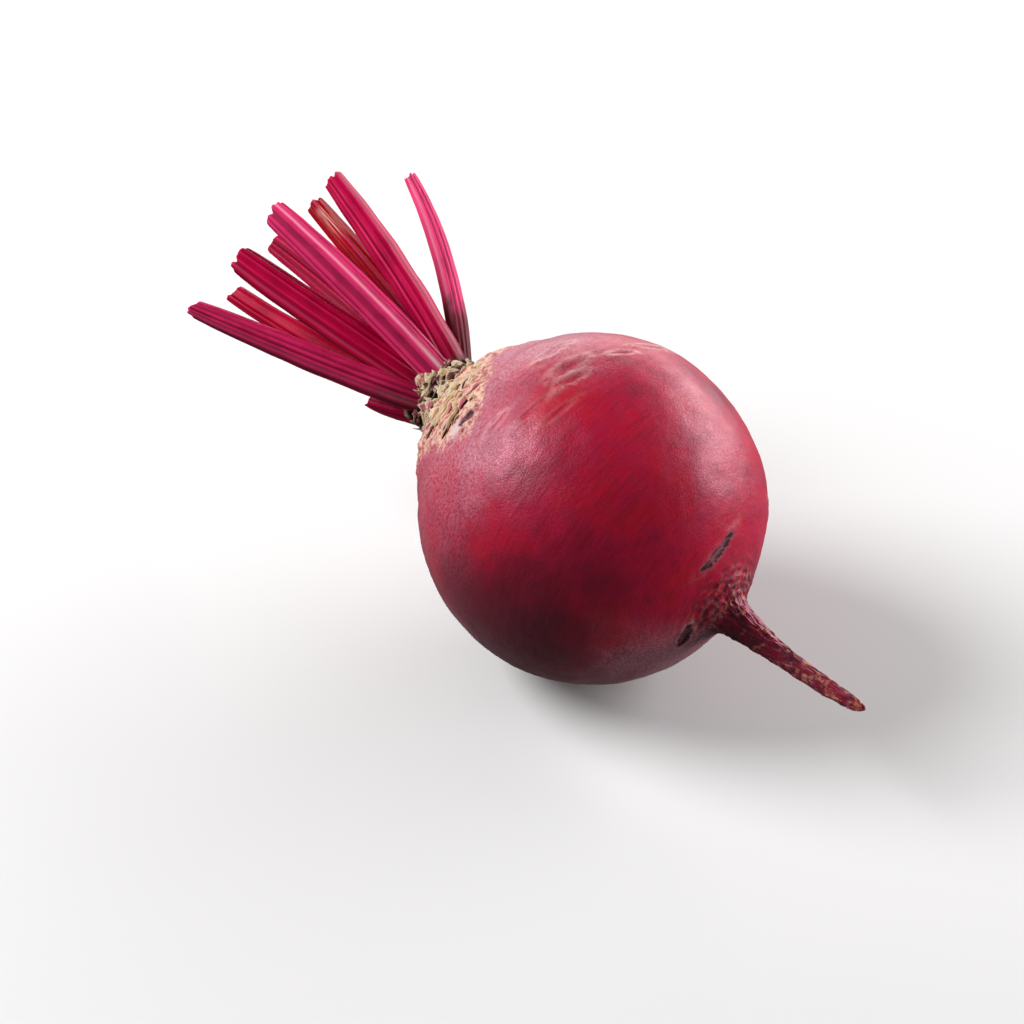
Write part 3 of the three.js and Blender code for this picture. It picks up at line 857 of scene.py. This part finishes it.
def stalk_section(angle, seed):
    """A stalk's section, one wide, at each angle from straight outwards: how far out, how far across,
    and how high the rib is there. Unevenly ribbed outside, channelled inside."""
    outside = np.cos(angle) > 0
    wave = 0.5 - 0.5 * np.cos(12 * (angle + math.pi / 2) + 1.5 * np.sin(3 * angle + seed))
    wave = wave * (0.7 + 0.3 * np.sin(2.3 * angle + 1.7 * seed))
    spread = np.where(outside, 0.90 + 0.10 * wave ** 0.8, 0.90)
    sine = np.sin(angle)
    hollow = 0.24 * np.exp(-(sine / 0.38) ** 2) - 0.30 * np.sqrt(np.clip(1 - sine * sine, 0, 1))
    out = np.where(outside, 0.42 * spread * np.cos(angle), hollow)
    inner_rib = 0.8 * np.exp(-((np.abs(sine) - 0.75) / 0.2) ** 2)
    return out, 0.5 * spread * sine, np.where(outside, wave, inner_rib)


def make_stalk(name, stalk, master, look, material, seed):
    """One leaf stalk: the master's rings slid along a rod with closed ends, which is then ribbed,
    tapered, bowed, and cut slanting with a torn notch."""
    mesh = master.data.copy()
    piece = bpy.data.objects.new(name, mesh)
    bpy.context.collection.objects.link(piece)
    ball = read_points(mesh)
    ring = np.arccos(np.clip(-ball[:, 2], -1, 1)) / math.pi
    angle = np.arctan2(ball[:, 1], ball[:, 0])
    share = np.interp(ring, (0, 0.08, 0.70, 0.82, 0.86, 1), (0, 0, 0.93, 0.995, 1, 1))
    reach = np.interp(ring, (0, 0.08, 0.82, 0.86, 1), (0, 1, 1, 0.93, 0))
    out, across, rib = stalk_section(angle, seed)
    tone = np.stack((1.3 * np.cos(angle), 1.3 * np.sin(angle), np.full(len(angle), seed * 3.1)), 1)
    fine = rough(tone, 0.25, 2, seed)
    run = np.stack((6 * share, np.zeros(len(share)), np.full(len(share), seed)), 1)
    width = stalk["base"] + (stalk["cut"] - stalk["base"]) * share
    width += STALK_SWELL * np.sqrt(np.clip(np.sin(math.pi * share), 0, 1))
    width *= 1 + 0.05 * rough(run, 1, 2, seed)
    skin = look.fine_ribs / MM * fine / width * 2 * smoothstep(reach, 0.9, 1)
    x = out * width * (reach + skin)
    z = across * width * (reach + skin)

    notch = CUT_NOTCH * np.exp(-(degrees_off(angle, stalk["notch"]) / NOTCH_DEGREES) ** 2)
    notch *= smoothstep(reach, 0.15, 0.8)
    torn = look.ragged_cut / MM * rough(tone + reach[:, None], 0.9, 3, seed + 40)
    droop = 0.9 * np.abs(np.sin(angle)) ** 4 * reach
    ends = CUT_SLANT * x - notch + torn * reach - droop - 0.4 * (1 - reach ** 2)
    tall = share * stalk["length"] + ends * smoothstep(share, 0.90, 1.0)
    wave = share * stalk["length"] / 16 + seed * 2.7
    x = x + 0.35 * np.sin(wave) * share
    z = z + 0.5 * np.sin(0.8 * wave + 1.3) * share
    twist = STALK_TWIST * math.sin(seed * 2.1) * share
    x, z = x * np.cos(twist) - z * np.sin(twist), x * np.sin(twist) + z * np.cos(twist)

    start = math.radians(stalk["lean"] + stalk["turn"] / 2)
    curve = math.radians(stalk["turn"]) / stalk["length"]
    lean = start - curve * tall
    outward = (np.cos(lean) - math.cos(start)) / curve + np.cos(lean) * x + stalk["out"]
    height = (math.sin(start) - np.sin(lean)) / curve - np.sin(lean) * x
    around = math.radians(stalk["around"])
    points = np.stack((outward * math.cos(around) - z * math.sin(around), STALK_BASE + height,
                       outward * math.sin(around) + z * math.cos(around)), 1)
    write_points(mesh, lying(points))
    paint_stalk(mesh, stalk, angle, share, reach)
    paint(mesh, "fibre", np.stack((3 * np.cos(angle), tall + 40 * seed, 3 * np.sin(angle)), 1))
    paint(mesh, "rib", np.clip(rib + 0.5 * fine, 0, 1))
    finish_piece(piece, "leaf_" + name, material, name)


def paint_stalk(mesh, stalk, angle, share, reach):
    """Keeps where a stalk is pale, brown, dried or cut, where its painted highlight line runs, and how strong
    its painted highlight and shade are, for its material.
    """
    for key in ("scarlet", "light", "blush"):
        paint(mesh, key, np.full(len(share), stalk[key]))
    # The crest's painted highlight line, placed where that stalk shows its highlight, as strong as its light
    # value.
    off_crest_highlight = degrees_off(angle, stalk["crest"])
    paint(mesh, "crest", np.exp(-(off_crest_highlight / CREST_HIGHLIGHT_DEGREES) ** 2) * stalk["light"])
    base, tip = stalk["brown_base"], stalk["dried_tip"]
    paint(mesh, "brown", min(1, 3 * base + 0.45) * (1 - smoothstep(share, 0.02, max(base, 0.08))))
    paint(mesh, "foot", 1 - smoothstep(share, 0.03, 0.28))
    beside = np.exp(-(off_crest_highlight / DRIED_DEGREES) ** 2)
    paint(mesh, "dried", min(1, 5 * tip) * beside * smoothstep(share, 1 - 1.1 * tip, 1 - 0.7 * tip)
          * (1 - smoothstep(share, 0.93, 0.97)))
    paint(mesh, "cut", 0.8 * smoothstep(share, 0.99, 1.0) * (1 - smoothstep(reach, 0.85, 0.98)))


def make_stalks(look):
    """Every leaf stalk of the rosette."""
    master = start_piece(bpy.ops.mesh.primitive_uv_sphere_add, segments=96, ring_count=90, radius=1)
    material = ribbed_stalk(look)
    for seed, (name, stalk) in enumerate(STALKS.items(), 1):
        make_stalk(name, stalk, master, look, material, seed)
    bpy.data.objects.remove(master)


def make_stage(look):
    """The pale floor, the soft lights and the camera at the beetroot's side. The floor catches the
    shadow but throws no light back, so the underside stays dark."""
    floor = start_piece(bpy.ops.mesh.primitive_plane_add, size=6)
    floor.name = "floor"
    paper = start_material("matt_white_paper", **{"Base Color": look.floor, "Roughness": 0.9})[0]
    floor.data.materials.append(paper)
    floor.visible_diffuse = False
    floor.visible_glossy = False
    centre = Vector((0, 0, REST_HEIGHT * MM))
    for name, direction, metres_away, width, height, watts in (
            ("key", (-0.65, -0.44, 0.62), 0.8, 0.46, 0.46, look.key),
            ("side", (0.28, 0.93, 0.27), 0.8, 1.00, 0.46, look.side),
            ("fill", (0.84, 0.49, 0.16), 0.8, 0.60, 0.30, look.fill),
            ("backdrop", (-0.68, 0.73, 0.15), 1.2, 1.50, 0.38, look.backdrop)):
        light = bpy.data.lights.new(name, "AREA")
        light.shape = "ELLIPSE"
        light.size = width
        light.size_y = height
        light.energy = watts
        lamp = bpy.data.objects.new(name, light)
        bpy.context.collection.objects.link(lamp)
        towards = Vector(direction).normalized()
        lamp.location = centre + towards * metres_away
        lamp.rotation_mode = "QUATERNION"
        lamp.rotation_quaternion = towards.to_track_quat("Z", "Y")
        lamp.visible_glossy = name != "fill"
    world = bpy.data.worlds.new("white_studio")
    world.use_nodes = True
    background = world.node_tree.nodes["Background"]
    background.inputs["Strength"].default_value = look.sky
    background.inputs["Color"].default_value = (1, 1, 1, 1)
    bpy.context.scene.world = world
    bpy.context.scene.view_settings.view_transform = "Standard"
    place_camera(look, centre)


def place_camera(look, centre):
    """Puts the globe where it is in the picture, seen from the photograph's side and height."""
    lens, sensor, picture = 100.0, 36.0, 1024
    globe_x, globe_y = 592.5, 508.0
    a, e = look.azimuth, look.elevation
    back = Vector((math.sin(a) * math.cos(e), -math.cos(a) * math.cos(e), math.sin(e)))
    right = Vector((math.cos(a), math.sin(a), 0))
    up = back.cross(right)
    pixel = sensor / lens / picture * look.distance
    camera = bpy.data.objects.new("camera", bpy.data.cameras.new("camera"))
    bpy.context.collection.objects.link(camera)
    camera.data.lens = lens
    camera.data.sensor_width = sensor
    camera.location = (centre + look.distance * back - (globe_x - picture / 2) * pixel * right
                       - (picture / 2 - globe_y) * pixel * up)
    camera.rotation_mode = "QUATERNION"
    camera.rotation_quaternion = (-back).to_track_quat("-Z", "Y")
    bpy.context.scene.camera = camera


class BEETROOT_OT_root(bpy.types.Operator):
    """Grow the globe, the neck and the taproot under one skin"""

    bl_idname = "beetroot.root"
    bl_label = "Root"

    def execute(self, context):
        make_root(context.scene.beetroot_root)
        return {"FINISHED"}


class BEETROOT_OT_crown(bpy.types.Operator):
    """Grow the corky crown with its dry leaf-base scales"""

    bl_idname = "beetroot.crown"
    bl_label = "Crown"

    def execute(self, context):
        make_crown(context.scene.beetroot_crown)
        return {"FINISHED"}


class BEETROOT_OT_stalks(bpy.types.Operator):
    """Grow the trimmed leaf stalks"""

    bl_idname = "beetroot.stalks"
    bl_label = "Leaf stalks"

    def execute(self, context):
        make_stalks(context.scene.beetroot_stalks)
        return {"FINISHED"}


class BEETROOT_OT_stage(bpy.types.Operator):
    """Set the floor, the lights and the camera"""

    bl_idname = "beetroot.stage"
    bl_label = "Stage"

    def execute(self, context):
        make_stage(context.scene.beetroot_stage)
        return {"FINISHED"}


class VIEW3D_PT_beetroot(bpy.types.Panel):
    """The beetroot's pieces and their settings"""

    bl_label = "Beetroot"
    bl_space_type = "VIEW_3D"
    bl_region_type = "UI"
    bl_category = "Beetroot"

    def draw(self, context):
        for operator, settings in STEPS:
            box = self.layout.box()
            box.operator(operator.bl_idname)
            group = getattr(context.scene, operator.bl_idname.replace(".", "_"))
            for name in settings.__annotations__:
                box.prop(group, name)


STEPS = (
    (BEETROOT_OT_root, RootSettings),
    (BEETROOT_OT_crown, CrownSettings),
    (BEETROOT_OT_stalks, StalkSettings),
    (BEETROOT_OT_stage, StageSettings),
)


def register():
    for operator, settings in STEPS:
        bpy.utils.register_class(settings)
        bpy.utils.register_class(operator)
        name = operator.bl_idname.replace(".", "_")
        setattr(bpy.types.Scene, name, bpy.props.PointerProperty(type=settings))
    bpy.utils.register_class(VIEW3D_PT_beetroot)


def unregister():
    bpy.utils.unregister_class(VIEW3D_PT_beetroot)
    for operator, settings in reversed(STEPS):
        delattr(bpy.types.Scene, operator.bl_idname.replace(".", "_"))
        bpy.utils.unregister_class(operator)
        bpy.utils.unregister_class(settings)


def main():
    register()
    bpy.ops.beetroot.root()
    bpy.ops.beetroot.crown()
    bpy.ops.beetroot.stalks()
    bpy.ops.beetroot.stage()


if __name__ == "__main__":
    main()
